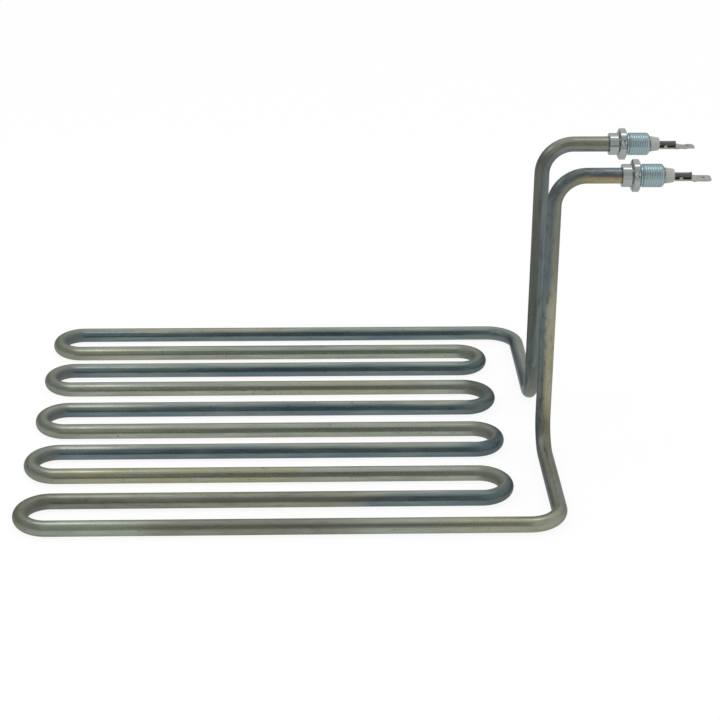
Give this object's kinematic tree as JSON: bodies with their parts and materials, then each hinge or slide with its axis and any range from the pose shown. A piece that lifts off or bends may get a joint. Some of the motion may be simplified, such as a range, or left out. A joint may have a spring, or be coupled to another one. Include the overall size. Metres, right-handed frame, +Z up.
{
  "type": "fryer heating element",
  "caption": "Tubular heating element of a deep fryer: a flat bank of bent parallel runs with two risers, each ending in a threaded bush, a ceramic bead and a push-on tab.",
  "frame": {"origin": "under the middle of the element, on the plane that the bank of runs rests on", "axes": "+X along the runs towards the terminals, +Y across the runs to the rear, +Z up along the risers"},
  "size_m": [0.3592, 0.2478, 0.1643],
  "materials": {
    "sheath_steel": "stainless steel, heat-tinted straw, brown and blue",
    "magnesia": "compacted powder, matt",
    "coil_wire": "oxidised resistance wire",
    "pin_steel": "dark oxidised steel",
    "seal_resin": "cured resin, matt",
    "zinc_plated_steel": "blue zinc plating, satin",
    "bead_ceramic": "unglazed, matt",
    "tab_steel": "nickel-plated steel, dull"
  },
  "bodies": {
    "root": {"sheath_tube": "sheath_steel", "magnesia_fill": "magnesia", "resistance_coil": "coil_wire", "terminal_pin_front": "pin_steel", "terminal_pin_rear": "pin_steel", "end_seal_front": "seal_resin", "end_seal_rear": "seal_resin", "threaded_bush_front": "zinc_plated_steel", "threaded_bush_rear": "zinc_plated_steel", "ceramic_bead_front": "bead_ceramic", "ceramic_bead_rear": "bead_ceramic", "terminal_tab_front": "tab_steel", "terminal_tab_rear": "tab_steel"}
  },
  "joints": []
}
